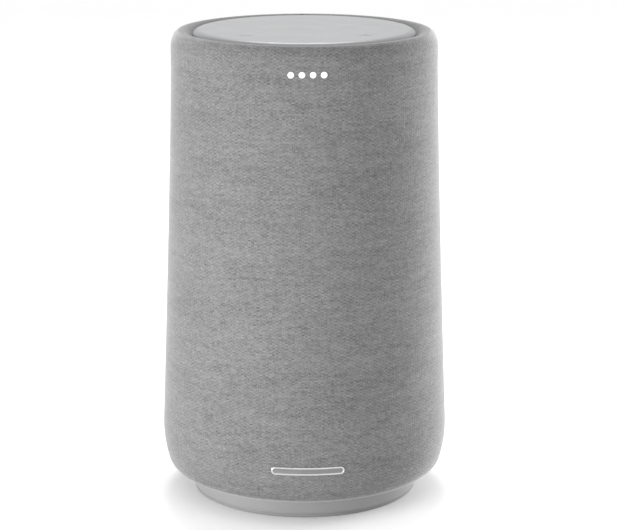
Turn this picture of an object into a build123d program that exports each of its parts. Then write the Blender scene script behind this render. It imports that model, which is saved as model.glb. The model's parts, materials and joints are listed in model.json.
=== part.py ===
from build123d import *
import os

# A table-top smart speaker, in millimetres: a cloth-covered barrel with a touch plate on top,
# a woofer and a tweeter in a ported enclosure, and its electronics in the base.
# The origin is the centre of the underside, +Z is up and the front faces -Y.

# ------------------------------------------------------------------ driving dimensions

# Outside of the body
HEIGHT = 260.0
BELLY_R, BELLY_Z = 80.0, 41.0        # widest place, low on the body
WAIST_R, WAIST_Z = 76.15, 140.0      # the taper eases a little here
NECK_R, NECK_Z = 73.1, 240.0         # the body is straight from here to the shoulder
SHOULDER_Z, SHOULDER_R, SHOULDER_TURN = 250.7, 13.5, 30
RIM_R, ROLL_R, LIP_Z = 4.2, 6.0, 251.0      # outer and inner roll of the rim, and the cloth's upper edge
HEM_R, HEM_Z = 65.8, 11.5            # where the cloth turns in to the base
HEEL_X, HEEL_R, HEEL_TURN = 68.5, 9.1, 76   # the tight curve between the hem and the side
CLOTH = 1.2
GRILLE = 2.2
SKIN = CLOTH + GRILLE

# Windows in the grille frame
WINDOW_COUNT, WINDOW_W, WINDOW_DEEP = 24, 13.0, 40.0
WINDOW_ROWS = [(62, 118), (122, 178), (182, 236)]     # lowest and highest point of each row

# Touch plate, and the frame that carries it
PLATE_R, PLATE_EDGE_Z = 61.2, 257.0
PLATE_FLAT_R = 56.3
PLATE_EDGE_PULL = [(59.0, 260.0), (61.0, 258.6)]      # shape the rounding between flat and edge
PLATE_T, SKIRT_T, SKIRT_Z = 2.2, 1.8, 251.5
PLATE_BOSS_R, PLATE_BOSS_AT = 2.6, 55.2
FRAME_R, FRAME_BORE_R, COLLAR_R, COLLAR_H = 69.0, 38.0, 41.0, 2.0
FLANGE_LOW, FLANGE_HIGH = 248.0, 250.4
TOUCH_R, TOUCH_BORE_R, TOUCH_LOW, TOUCH_HIGH = 51.5, 3.0, 255.4, 257.0
MIC_X, MIC_W, MIC_L, MIC_H, MIC_HOLE_R = 31.0, 3.8, 3.0, 1.1, 0.6

# Marks on the touch plate
MARK_Y, MARK_DEPTH = -4.0, 0.2
DOT_COUNT, DOT_PITCH, DOT_R = 4, 2.2, 0.55
STROKE_X, STROKE_Y, STROKE_L, STROKE_W = 32.0, -30.0, 7.0, 0.8

# Status lights
LIGHT_COUNT, LIGHT_PITCH, LIGHT_R, LIGHT_Z, LIGHT_GAP = 4, 5.74, 1.65, 245.2, 0.15
LED_BOARD_Y, LED_BOARD_W, LED_BOARD_H = -62.4, 32.0, 7.0
LED_W, LED_T, LED_H = 3.0, 1.0, 2.0
GUIDE_Y, GUIDE_W, GUIDE_T, GUIDE_H = -67.4, 27.0, 2.0, 4.0

# Ribbon from the touch board down to the main board
RIBBON_X, RIBBON_W, RIBBON_T = 49.0, 12.0, 0.4
RIBBON_ROUTE = [(RIBBON_X, TOUCH_LOW), (RIBBON_X, 246), (69.0, 246), (74.2, 60), (66, 55), (57, 26)]

# Badge
BADGE_W, BADGE_H, BADGE_Z, BADGE_BEVEL = 39.5, 4.4, 32.5, 0.35
PROUD = 0.8                          # how far badge and rear bezel stand out of the cloth

# Speaker enclosure
BOX_FLOOR_Z, BOX_TOP_Z = 62.0, 240.0
BOX_FLOOR_R, BOX_TOP_R = 73.0, 68.0
BOX_WALL = 3.0
BAFFLE_Y, BAFFLE_T = -50.0, 4.0
LID_T, SEAL_T, SEAL_W = 3.0, 1.0, 2.4
BOSS_R, LID_BOSS_L, POST_BOSS_L = 4.0, 20.0, 8.0
LID_BOSS_AT = [(-60.5, 14), (60.5, 14), (-42, -43), (42, -43)]
LID_POST_AT = [(0, 46), (0, -46), (-46, 0)]
POST_AT = [(-38, -46), (38, -46), (-38, 46), (38, 46)]

# Drivers and port, by the height of their axes
WOOFER_Z, WOOFER_R, WOOFER_CUT_R = 118.0, 49.0, 41.5
WOOFER_SCREWS, WOOFER_SCREW_AT = 6, 46.3
TWEETER_Z, TWEETER_R, TWEETER_CUT_R = 200.0, 21.0, 16.4
TWEETER_SCREWS, TWEETER_SCREW_AT = 3, 18.4
PORT_Z, PORT_R, PORT_WALL, PORT_MOUTH_Y, PORT_INNER_Y = 222.0, 12.0, 1.8, 68.6, -14.0
PORT_FLANGE_W, PORT_FLANGE_T, PORT_FLARE = 4.0, 2.0, 1.5

# Base
RING_R, RING_FOOT_R, RING_TOP_Z, RING_WALL = 65.5, 63.5, 15.0, 2.6
FOOT_T, FOOT_R, FOOT_INNER_R = 2.2, 62.8, 51.0
COVER_R, COVER_T = 60.7, 2.5
DECK_Z, DECK_T, DECK_R = 15.0, 3.0, 69.0
POST_R, POST_BORE_R, POST_BORE_L = 4.8, 3.2, 40.0
CHASSIS_AT, CHASSIS_BOSS_R, CHASSIS_SINK = 31.0, 4.2, 1.2

# Cord well in the underside, which holds the mains inlet and opens to the rear
WELL_W, WELL_FRONT, WELL_BACK, WELL_TOP, WELL_WALL = 28.0, 6.0, 40.0, 30.0, 2.0
WELL_LIP, WELL_LIP_T, WELL_GAP = 3.0, 1.5, 0.15
CHANNEL_W, CHANNEL_TOP, CHANNEL_END = 11.0, 10.0, 60.2
INLET_Y, INLET_W, INLET_L, INLET_H = 24.0, 22.0, 15.0, 16.0
INLET_LIP_W, INLET_LIP_L, INLET_LIP_T = 28.0, 19.0, 2.0
SOCKET_W, SOCKET_L, SOCKET_DEEP = 17.2, 8.8, 12.0
PIN_PITCH, PIN_R, PIN_L, PIN_SINK = 8.6, 1.2, 19.0, 2.0
SERVICE_Y, SERVICE_W, SERVICE_L, SERVICE_H = 10.5, 7.5, 2.8, 6.0

# Circuit boards in the base, power on the left and processing on the right
BOARD_X, BOARD_W, BOARD_L = 38.0, 40.0, 74.0
BOARD_Z, BOARD_T = 21.2, 1.6
BOARD_HOLE_X, BOARD_HOLE_Y, STANDOFF_R = 34.0, 66.0, 2.5
BOARD_TOP = BOARD_Z + BOARD_T
LEAD_R = 1.0

# Rear controls
REAR_Z, REAR_W, REAR_H, REAR_CORNER, REAR_GAP = 42.0, 50.0, 22.0, 8.0, 0.2
BEZEL_T, BEZEL_RIM, BEZEL_FACE_Y = 6.6, 2.0, 77.2
BUTTON_X, BUTTON_R, BUTTON_GAP, BUTTON_STEM_R = 11.0, 4.5, 0.3, 1.6
BUTTON_FACE_Y, BUTTON_FLANGE_Y, BUTTON_BACK_Y = 80.5, 73.6, 69.3
BUTTON_FLANGE_R, BUTTON_FLANGE_T, BUTTON_BEVEL = 5.5, 1.4, 0.5
BUTTON_BOARD_Y, BUTTON_BOARD_W, BUTTON_BOARD_H = 64.0, 42.0, 18.0
SWITCH_W, SWITCH_L, SWITCH_BORE_R, SWITCH_BORE_L = 6.2, 4.2, 2.1, 2.6

# Screws
SCREW_HEAD_R, SCREW_HEAD_H, SCREW_R, SCREW_GAP = 2.6, 1.8, 1.3, 0.1

GLUE = 0.05                          # bond line between glued parts
THROUGH = 100.0                      # long enough to cut from one side's plane out of the body
BOTTOM = (Align.CENTER, Align.CENTER, Align.MIN)
TOP = (Align.CENTER, Align.CENTER, Align.MAX)

FRONT = Plane.XZ.offset(60)          # upright plane inside the front wall, facing forwards
REAR = Plane(origin=(0, 60, 0), x_dir=(-1, 0, 0), z_dir=(0, 1, 0))
UPSIDE_DOWN = (0, 0, -1)


# ------------------------------------------------------------------ shared shapes

def skin_line(inset):
    """Half outline of the body in XZ, from its hem to its lip, moved inwards by inset."""
    Line((HEM_R, HEM_Z + inset), (HEEL_X, HEM_Z + inset))
    heel = JernArc((HEEL_X, HEM_Z + inset), (1, 0), HEEL_R - inset, HEEL_TURN)
    TangentArc(heel @ 1, (BELLY_R - inset, BELLY_Z), tangent=heel % 1)
    Polyline((BELLY_R - inset, BELLY_Z), (WAIST_R - inset, WAIST_Z), (NECK_R - inset, NECK_Z),
             (NECK_R - inset, SHOULDER_Z))
    shoulder = JernArc((NECK_R - inset, SHOULDER_Z), (0, 1), SHOULDER_R - inset, SHOULDER_TURN)
    rim = JernArc(shoulder @ 1, shoulder % 1, RIM_R - inset, 90 - SHOULDER_TURN)
    roll = JernArc(rim @ 1, rim % 1, ROLL_R - inset, 90)
    lip = (roll @ 1).X
    Line(roll @ 1, (lip, LIP_Z))
    return lip


def skin_band(outer, inner):
    """Body of revolution between two insets of the skin line."""
    with BuildSketch(Plane.XZ) as band:
        with BuildLine():
            outer_lip = skin_line(outer)
            inner_lip = skin_line(inner)
            Line((HEM_R, HEM_Z + outer), (HEM_R, HEM_Z + inner))
            Line((outer_lip, LIP_Z), (inner_lip, LIP_Z))
        make_face()
    revolve(band.sketch, axis=Axis.Z)


def section_plane(plane):
    """Plane that holds a driver's half outline as (radius, height) on the driver's own axis."""
    return Plane(origin=plane.origin, x_dir=plane.x_dir, z_dir=-plane.y_dir)


def turn(plane, outline):
    """Turn a closed (radius, height) outline about the plane's own axis."""
    with BuildSketch(section_plane(plane)) as section:
        with BuildLine():
            Polyline(*outline, close=True)
        make_face()
    revolve(section.sketch, axis=Axis(plane.origin, plane.z_dir))


def ring(plane, inner, outer, low, high):
    """Plain washer or tube on the plane's axis."""
    turn(plane, [(inner, low), (outer, low), (outer, high), (inner, high)])


def dome(plane, radius, rise, thickness):
    """Thin spherical cap that stands on the plane."""
    ball = (radius ** 2 + rise ** 2) / (2 * rise)
    with Locations(plane.offset(rise - ball)):
        Sphere(ball)
        Sphere(ball - thickness, mode=Mode.SUBTRACT)
    with Locations(plane):
        Cylinder(radius, 2 * ball, align=BOTTOM, mode=Mode.INTERSECT)


def screw(length):
    """Pan-head screw whose head seats on the local XY plane, with its shank below it."""
    Cylinder(SCREW_HEAD_R, SCREW_HEAD_H, align=BOTTOM)
    Cylinder(SCREW_R, length, align=TOP)


def bolt_holes(plane, radius, count, hole):
    """Ring of holes around a driver's axis."""
    with Locations(plane):
        with PolarLocations(radius, count, start_angle=30):
            Cylinder(hole, 4 * BOX_WALL, mode=Mode.SUBTRACT)


def driver_plane(height):
    """Plane on the baffle at a driver's axis, facing forwards."""
    return Plane(origin=(0, BAFFLE_Y, height), x_dir=(1, 0, 0), z_dir=(0, -1, 0))


def box_outline(radius):
    """Round outline of the enclosure, cut flat at the baffle."""
    Circle(radius)
    with Locations((0, BAFFLE_Y)):
        Rectangle(2 * radius, 2 * radius, align=(Align.CENTER, Align.MAX), mode=Mode.SUBTRACT)


WOOFER = driver_plane(WOOFER_Z)
TWEETER = driver_plane(TWEETER_Z)
LIGHT_AT = [((i - (LIGHT_COUNT - 1) / 2) * LIGHT_PITCH, LIGHT_Z) for i in range(LIGHT_COUNT)]
MIC_AT = [(-MIC_X, MARK_Y), (MIC_X, MARK_Y)]

# ------------------------------------------------------------------ cloth and grille

with BuildPart() as fabric_sleeve:
    skin_band(0, CLOTH)
    with BuildSketch(FRONT):
        with Locations(*LIGHT_AT):
            Circle(LIGHT_R + LIGHT_GAP)
    extrude(amount=THROUGH, mode=Mode.SUBTRACT)
    with BuildSketch(REAR):
        with Locations((0, REAR_Z)):
            RectangleRounded(REAR_W + 2 * REAR_GAP, REAR_H + 2 * REAR_GAP, REAR_CORNER)
    extrude(amount=THROUGH, mode=Mode.SUBTRACT)

with BuildPart() as grille_frame:
    skin_band(CLOTH, SKIN)
    for low, high in WINDOW_ROWS:
        with Locations((0, 0, low)):
            with PolarLocations(BELLY_R, WINDOW_COUNT):
                Box(WINDOW_DEEP, WINDOW_W, high - low, align=BOTTOM, mode=Mode.SUBTRACT)
    with BuildSketch(FRONT):
        with Locations(*LIGHT_AT):
            Circle(LIGHT_R + 2 * LIGHT_GAP)
    extrude(amount=THROUGH, mode=Mode.SUBTRACT)
    with BuildSketch(REAR):
        with Locations((0, REAR_Z)):
            RectangleRounded(REAR_W + 2 * REAR_GAP, REAR_H + 2 * REAR_GAP, REAR_CORNER)
    extrude(amount=THROUGH, mode=Mode.SUBTRACT)

# ------------------------------------------------------------------ touch plate and lights

UNDER_Z = HEIGHT - PLATE_T
with BuildPart() as top_plate:
    with BuildSketch(Plane.XZ):
        with BuildLine():
            skirt = PLATE_R - SKIRT_T
            Line((0, HEIGHT), (PLATE_FLAT_R, HEIGHT))
            Bezier((PLATE_FLAT_R, HEIGHT), *PLATE_EDGE_PULL, (PLATE_R, PLATE_EDGE_Z))
            Polyline((PLATE_R, PLATE_EDGE_Z), (PLATE_R, SKIRT_Z), (skirt, SKIRT_Z), (skirt, UNDER_Z),
                     (0, UNDER_Z), (0, HEIGHT))
        make_face()
    revolve(axis=Axis.Z)
    with Locations((0, 0, FLANGE_HIGH)):
        with PolarLocations(PLATE_BOSS_AT, 4, start_angle=45):
            Cylinder(PLATE_BOSS_R, UNDER_Z - FLANGE_HIGH, align=BOTTOM)
            Cylinder(SCREW_R, TOUCH_LOW - FLANGE_HIGH, align=BOTTOM, mode=Mode.SUBTRACT)
    with BuildSketch(Plane.XY.offset(HEIGHT)):
        with Locations(*MIC_AT):
            Circle(MIC_HOLE_R)
    extrude(amount=-PLATE_T, mode=Mode.SUBTRACT)
    with BuildSketch(Plane.XY.offset(HEIGHT)):
        with Locations((0, MARK_Y)):
            with GridLocations(DOT_PITCH, 1, DOT_COUNT, 1):
                Circle(DOT_R)
        with Locations((-STROKE_X, STROKE_Y), (STROKE_X, STROKE_Y)):
            Rectangle(STROKE_L, STROKE_W)
        with Locations((STROKE_X, STROKE_Y)):
            Rectangle(STROKE_W, STROKE_L)
    extrude(amount=-MARK_DEPTH, mode=Mode.SUBTRACT)

LED_SHELF_Y, LED_SHELF_T, LED_SHELF_H = -61.2, 2.4, 8.0
with BuildPart() as top_frame:
    ring(Plane.XY, FRAME_BORE_R, FRAME_R, FLANGE_LOW, FLANGE_HIGH)
    ring(Plane.XY, FRAME_BORE_R, COLLAR_R, FLANGE_HIGH, FLANGE_HIGH + COLLAR_H)
    with Locations((0, LED_SHELF_Y, FLANGE_LOW)):
        Box(LED_BOARD_W + 2, LED_SHELF_T, LED_SHELF_H, align=TOP)
    with Locations((RIBBON_X, 0, FLANGE_LOW)):
        Box(4, RIBBON_W + 3, 12, mode=Mode.SUBTRACT)
    with PolarLocations(PLATE_BOSS_AT, 4, start_angle=45):
        Cylinder(SCREW_R + SCREW_GAP, HEIGHT, align=BOTTOM, mode=Mode.SUBTRACT)
    with Locations(*LID_POST_AT):
        Cylinder(SCREW_R + SCREW_GAP, HEIGHT, align=BOTTOM, mode=Mode.SUBTRACT)

with BuildPart() as top_screws:
    with Locations(Plane(origin=(0, 0, FLANGE_LOW), z_dir=UPSIDE_DOWN)):
        with PolarLocations(PLATE_BOSS_AT, 4, start_angle=45):
            screw(6)
    with Locations((0, 0, FLANGE_HIGH)):
        with Locations(*LID_POST_AT):
            screw(8)

with BuildPart() as touch_board:
    ring(Plane.XY, TOUCH_BORE_R, TOUCH_R, TOUCH_LOW, TOUCH_HIGH)
    with Locations((0, 0, TOUCH_LOW)):
        with Locations(*MIC_AT):
            Cylinder(MIC_HOLE_R, 4, mode=Mode.SUBTRACT)

with BuildPart() as microphones:
    with Locations((0, 0, TOUCH_LOW)):
        with Locations(*MIC_AT):
            Box(MIC_W, MIC_L, MIC_H, align=TOP)
            Cylinder(0.4, 1.0, mode=Mode.SUBTRACT)

with BuildPart() as microphone_gaskets:
    with Locations((0, 0, TOUCH_HIGH)):
        with Locations(*MIC_AT):
            Cylinder(4, UNDER_Z - TOUCH_HIGH, align=BOTTOM)
            Cylinder(1, UNDER_Z - TOUCH_HIGH, align=BOTTOM, mode=Mode.SUBTRACT)

with BuildPart() as led_board:
    with Locations((0, LED_BOARD_Y - BOARD_T / 2, LIGHT_Z - 1.5)):
        Box(LED_BOARD_W, BOARD_T, LED_BOARD_H)

with BuildPart() as led_emitters:
    with Locations(*[(x, LED_BOARD_Y - BOARD_T - LED_T / 2, z) for x, z in LIGHT_AT]):
        Box(LED_W, LED_T, LED_H)

with BuildPart() as light_guide:
    with Locations((0, GUIDE_Y + GUIDE_T / 2, LIGHT_Z)):
        Box(GUIDE_W, GUIDE_T, GUIDE_H)
    with BuildSketch(Plane.XZ.offset(-GUIDE_Y)):
        with Locations(*LIGHT_AT):
            Circle(LIGHT_R)
    extrude(amount=NECK_R + 0.1 + GUIDE_Y)
    fillet(light_guide.faces().group_by(Axis.Y)[0].edges(), 0.5)

with BuildPart() as touch_ribbon:
    with BuildSketch(Plane.XZ.offset(-RIBBON_W / 2)):
        with BuildLine() as ribbon_line:
            FilletPolyline(*RIBBON_ROUTE, radius=1.5)
        trace(ribbon_line.line, line_width=RIBBON_T)
    extrude(amount=RIBBON_W)

# ------------------------------------------------------------------ badge

with BuildPart() as badge:
    with BuildSketch(Plane.XZ):
        with Locations((BELLY_R + PROUD / 2, BADGE_Z)):
            Rectangle(PROUD, 3 * BADGE_H)
    revolve(axis=Axis.Z)
    with BuildSketch(FRONT):
        with Locations((0, BADGE_Z)):
            SlotOverall(BADGE_W, BADGE_H)
    extrude(amount=THROUGH, mode=Mode.INTERSECT)
    fillet(badge.faces().sort_by(Axis.Y)[0].edges(), BADGE_BEVEL)

# ------------------------------------------------------------------ speaker enclosure

PORT_AXIS = Plane(origin=(0, 0, PORT_Z), x_dir=(-1, 0, 0), z_dir=(0, 1, 0))
LEAD_AT = [(44, -20), (48, -20), (46, -16), (50, -16)]
LEAD_END_AT = [(36.8, -36), (39.6, -36), (17.6, -40), (17.6, -43)]
with BuildPart() as air_space:
    with BuildSketch(Plane.XY.offset(BOX_FLOOR_Z + BOX_WALL)):
        box_outline(BOX_FLOOR_R - BOX_WALL)
    with BuildSketch(Plane.XY.offset(BOX_TOP_Z)):
        box_outline(BOX_TOP_R - BOX_WALL)
    loft()
    with Locations((0, BAFFLE_Y, 0)):
        Box(2 * BOX_FLOOR_R, 2 * BAFFLE_T, 2 * HEIGHT, mode=Mode.SUBTRACT)

with BuildPart() as enclosure_body:
    with BuildSketch(Plane.XY.offset(BOX_FLOOR_Z)):
        box_outline(BOX_FLOOR_R)
    with BuildSketch(Plane.XY.offset(BOX_TOP_Z)):
        box_outline(BOX_TOP_R)
    loft()
    add(air_space.part, mode=Mode.SUBTRACT)
    with Locations((0, 0, BOX_TOP_Z)):
        with Locations(*LID_BOSS_AT):
            Cylinder(BOSS_R, LID_BOSS_L, align=TOP)
            Cylinder(SCREW_R, LID_BOSS_L - BOSS_R, align=TOP, mode=Mode.SUBTRACT)
    with Locations((0, 0, BOX_FLOOR_Z + BOX_WALL)):
        with Locations(*POST_AT):
            Cylinder(BOSS_R, POST_BOSS_L, align=BOTTOM)
    with Locations((0, 0, BOX_FLOOR_Z)):
        with Locations(*POST_AT):
            Cylinder(SCREW_R, POST_BOSS_L + 1, align=BOTTOM, mode=Mode.SUBTRACT)
        with Locations(*LEAD_AT):
            Cylinder(LEAD_R + 0.2, THROUGH / 5, mode=Mode.SUBTRACT)
    with Locations(WOOFER):
        Cylinder(WOOFER_CUT_R, THROUGH / 5, mode=Mode.SUBTRACT)
    with Locations(TWEETER):
        Cylinder(TWEETER_CUT_R, THROUGH / 5, mode=Mode.SUBTRACT)
    bolt_holes(WOOFER, WOOFER_SCREW_AT, WOOFER_SCREWS, SCREW_R)
    bolt_holes(TWEETER, TWEETER_SCREW_AT, TWEETER_SCREWS, SCREW_R)
    with BuildSketch(PORT_AXIS):
        Circle(PORT_R + PORT_WALL + GLUE)
    extrude(amount=THROUGH, mode=Mode.SUBTRACT)

with BuildPart() as lid_seal:
    with BuildSketch(Plane.XY.offset(BOX_TOP_Z)):
        box_outline(BOX_TOP_R - 0.3)
        offset(amount=-SEAL_W, mode=Mode.SUBTRACT)
    extrude(amount=SEAL_T)

with BuildPart() as enclosure_lid:
    with BuildSketch(Plane.XY.offset(BOX_TOP_Z + SEAL_T)):
        box_outline(BOX_TOP_R)
    extrude(amount=LID_T)
    with Locations((0, 0, BOX_TOP_Z + SEAL_T)):
        with Locations(*LID_POST_AT):
            Cylinder(BOSS_R, FLANGE_LOW - BOX_TOP_Z - SEAL_T, align=BOTTOM)
            Cylinder(SCREW_R, FLANGE_LOW - BOX_TOP_Z, align=BOTTOM, mode=Mode.SUBTRACT)
        with Locations(*LID_BOSS_AT):
            Cylinder(SCREW_R + SCREW_GAP, 2 * LID_T, align=BOTTOM, mode=Mode.SUBTRACT)

with BuildPart() as enclosure_screws:
    with Locations((0, 0, BOX_TOP_Z + SEAL_T + LID_T)):
        with Locations(*LID_BOSS_AT):
            screw(14)

with BuildPart() as bass_port:
    with BuildSketch(PORT_AXIS.offset(PORT_INNER_Y)):
        Circle(PORT_R + PORT_WALL)
    extrude(amount=PORT_MOUTH_Y - PORT_INNER_Y)
    with BuildSketch(PORT_AXIS.offset(PORT_INNER_Y)):
        Circle(PORT_R + PORT_WALL + PORT_FLANGE_W)
    extrude(amount=PORT_FLANGE_T)
    with Locations(PORT_AXIS):
        Cylinder(PORT_R, 2 * THROUGH, mode=Mode.SUBTRACT)
    chamfer(bass_port.edges().filter_by(GeomType.CIRCLE).group_by(SortBy.RADIUS)[0], PORT_FLARE)

# ------------------------------------------------------------------ woofer

# Heights below are along the driver's own axis, from the baffle forwards.
GASKET_T, GASKET_BORE_R = 0.8, 43.0
RIM_HIGH, RIM_BORE_R = GASKET_T + 2.5, 40.2
STACK_TOP, PLATE_LOW, MAGNET_LOW, YOKE_LOW = -32.5, -37.5, -49.5, -55.0
POLE_R, FORMER_R, FORMER_T, COIL_T, COIL_GAP = 11.7, 12.2, 0.35, 0.5, 0.5
FORMER_LOW, FORMER_HIGH, COIL_HIGH = -43.5, -16.0, -30.5
MAGNET_BORE_R, MAGNET_R, TOP_PLATE_R, YOKE_R = 18.0, 35.0, 30.0, 33.0
CONE_R, CONE_T, CONE_WAIST_R, CONE_WAIST_Z, NECK_LOW = 36.2, 1.2, 24.0, -10.0, -18.0
LAND_T, ROLL_R, ROLL_MID, ROLL_RISE = 0.6, 3.0, 39.9, 3.0
SPIDER_Z, SPIDER_T, WAVE, WAVE_STEP, WAVE_COUNT = -23.5, 0.5, 1.0, 1.95, 8
BASKET_WINDOWS, BASKET_WINDOW_AT, BASKET_WINDOW_Z = 6, 34.0, -18.0

with BuildPart() as woofer_gasket:
    ring(WOOFER, GASKET_BORE_R, WOOFER_R - 0.3, 0, GASKET_T)
    bolt_holes(WOOFER, WOOFER_SCREW_AT, WOOFER_SCREWS, SCREW_R + SCREW_GAP)

with BuildPart() as woofer_basket:
    turn(WOOFER, [(RIM_BORE_R, GASKET_T), (39.4, GASKET_T - 6), (24, STACK_TOP + 4), (14.5, STACK_TOP + 4),
                  (14.5, STACK_TOP), (TOP_PLATE_R, STACK_TOP), (TOP_PLATE_R, STACK_TOP + 2),
                  (41, GASKET_T - 7), (41, GASKET_T), (WOOFER_R, GASKET_T), (WOOFER_R, RIM_HIGH),
                  (RIM_BORE_R, RIM_HIGH)])
    with Locations(WOOFER.offset(BASKET_WINDOW_Z)):
        with PolarLocations(BASKET_WINDOW_AT, BASKET_WINDOWS):
            Box(16, 17, 16, mode=Mode.SUBTRACT)
    bolt_holes(WOOFER, WOOFER_SCREW_AT, WOOFER_SCREWS, SCREW_R + SCREW_GAP)

with BuildPart() as woofer_surround:
    with BuildSketch(section_plane(WOOFER)):
        with BuildLine():
            low, land = RIM_HIGH, RIM_HIGH + LAND_T
            inner, outer = ROLL_MID - ROLL_R, ROLL_MID + ROLL_R
            Polyline((outer - LAND_T, low), (outer + 0.7, low), (outer + 0.7, land), (outer, land))
            ThreePointArc((outer, land), (ROLL_MID, land + ROLL_RISE), (inner, land))
            Polyline((inner, land), (CONE_R - 2, land), (CONE_R - 2, low), (inner + LAND_T, low))
            ThreePointArc((inner + LAND_T, low), (ROLL_MID, low + 2.9), (outer - LAND_T, low))
        make_face()
    revolve(axis=Axis(WOOFER.origin, WOOFER.z_dir))

with BuildPart() as woofer_cone:
    neck = FORMER_R + FORMER_T + GLUE
    turn(WOOFER, [(neck, NECK_LOW), (CONE_WAIST_R, CONE_WAIST_Z), (CONE_R - 1.2, RIM_HIGH - CONE_T),
                  (CONE_R, RIM_HIGH - CONE_T), (CONE_R, RIM_HIGH), (CONE_R - 2.2, RIM_HIGH),
                  (CONE_WAIST_R - 0.5, CONE_WAIST_Z + 1), (neck, NECK_LOW + CONE_T)])

with BuildPart() as woofer_dust_cap:
    dome(WOOFER.offset(-15.2), 14.4, 4.6, 0.6)

with BuildPart() as woofer_voice_coil:
    ring(WOOFER, FORMER_R, FORMER_R + FORMER_T, FORMER_LOW, FORMER_HIGH)
    ring(WOOFER, FORMER_R, FORMER_R + FORMER_T + COIL_T, FORMER_LOW, COIL_HIGH)

with BuildPart() as woofer_spider:
    radii = [FORMER_R + FORMER_T + WAVE_STEP * i for i in range(WAVE_COUNT)]
    upper = [(r, SPIDER_Z + WAVE * (-1) ** i) for i, r in enumerate(radii)]
    lower = [(r, z - SPIDER_T) for r, z in reversed(upper)]
    turn(WOOFER, upper + lower)

with BuildPart() as woofer_top_plate:
    ring(WOOFER, FORMER_R + FORMER_T + COIL_T + COIL_GAP, TOP_PLATE_R, PLATE_LOW, STACK_TOP)

with BuildPart() as woofer_magnet:
    ring(WOOFER, MAGNET_BORE_R, MAGNET_R, MAGNET_LOW, PLATE_LOW)

with BuildPart() as woofer_yoke:
    turn(WOOFER, [(0, YOKE_LOW), (YOKE_R - 1, YOKE_LOW), (YOKE_R, YOKE_LOW + 1), (YOKE_R, MAGNET_LOW),
                  (POLE_R, MAGNET_LOW), (POLE_R, STACK_TOP - 0.6), (POLE_R - 0.8, STACK_TOP), (0, STACK_TOP)])

with BuildPart() as woofer_screws:
    with Locations(WOOFER.offset(RIM_HIGH)):
        with PolarLocations(WOOFER_SCREW_AT, WOOFER_SCREWS, start_angle=30):
            screw(11)

# ------------------------------------------------------------------ tweeter

FACE_T, FACE_BORE_R, FACE_FLARE_R = 2.2, 13.4, 16.5
DOME_R, DOME_RISE, DOME_T = 10.0, 3.4, 0.35
SUSPENSION_R, SUSPENSION_T, SUSPENSION_RISE = 12.8, 0.3, 1.0
T_COIL_T, T_COIL_L = 0.4, 7.5
T_PLATE_R, T_MAGNET_R, T_BORE_R = 8.9, 8.2, 0.8
CUP_R, CUP_WALL, CUP_LOW, CUP_FLOOR = 15.5, 4.4, -14.0, -11.0
T_PLATE_LOW, T_PLATE_HIGH, CUP_HIGH = -6.5, -3.6, -0.4

with BuildPart() as tweeter_faceplate:
    turn(TWEETER, [(FACE_BORE_R, 0), (TWEETER_R, 0), (TWEETER_R, FACE_T - 0.6), (TWEETER_R - 0.6, FACE_T),
                   (FACE_FLARE_R, FACE_T), (FACE_BORE_R, 0.8)])
    bolt_holes(TWEETER, TWEETER_SCREW_AT, TWEETER_SCREWS, SCREW_R + SCREW_GAP)

with BuildPart() as tweeter_dome:
    dome(TWEETER, DOME_R, DOME_RISE, DOME_T)

with BuildPart() as tweeter_suspension:
    with BuildSketch(section_plane(TWEETER)):
        with BuildLine():
            middle = (DOME_R + SUSPENSION_R) / 2
            ThreePointArc((DOME_R, 0), (middle, SUSPENSION_RISE), (SUSPENSION_R, 0))
            Line((SUSPENSION_R, 0), (SUSPENSION_R, -SUSPENSION_T))
            ThreePointArc((SUSPENSION_R, -SUSPENSION_T), (middle, SUSPENSION_RISE - SUSPENSION_T),
                          (DOME_R, -SUSPENSION_T))
            Line((DOME_R, -SUSPENSION_T), (DOME_R, 0))
        make_face()
    revolve(axis=Axis(TWEETER.origin, TWEETER.z_dir))

with BuildPart() as tweeter_coil:
    ring(TWEETER, DOME_R - 0.1 - T_COIL_T, DOME_R - 0.1, -T_COIL_L, -DOME_T)

with BuildPart() as tweeter_magnet:
    ring(TWEETER, T_BORE_R, T_MAGNET_R, CUP_FLOOR, T_PLATE_LOW)
    ring(TWEETER, T_BORE_R, T_PLATE_R, T_PLATE_LOW, T_PLATE_HIGH)

with BuildPart() as tweeter_yoke:
    cup_bore = CUP_R - CUP_WALL
    turn(TWEETER, [(0, CUP_LOW), (CUP_R - 0.6, CUP_LOW), (CUP_R, CUP_LOW + 0.6), (CUP_R, CUP_HIGH),
                   (cup_bore, CUP_HIGH), (cup_bore, CUP_FLOOR), (0, CUP_FLOOR)])

with BuildPart() as tweeter_screws:
    with Locations(TWEETER.offset(FACE_T)):
        with PolarLocations(TWEETER_SCREW_AT, TWEETER_SCREWS, start_angle=30):
            screw(8)

# ------------------------------------------------------------------ base

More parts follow.
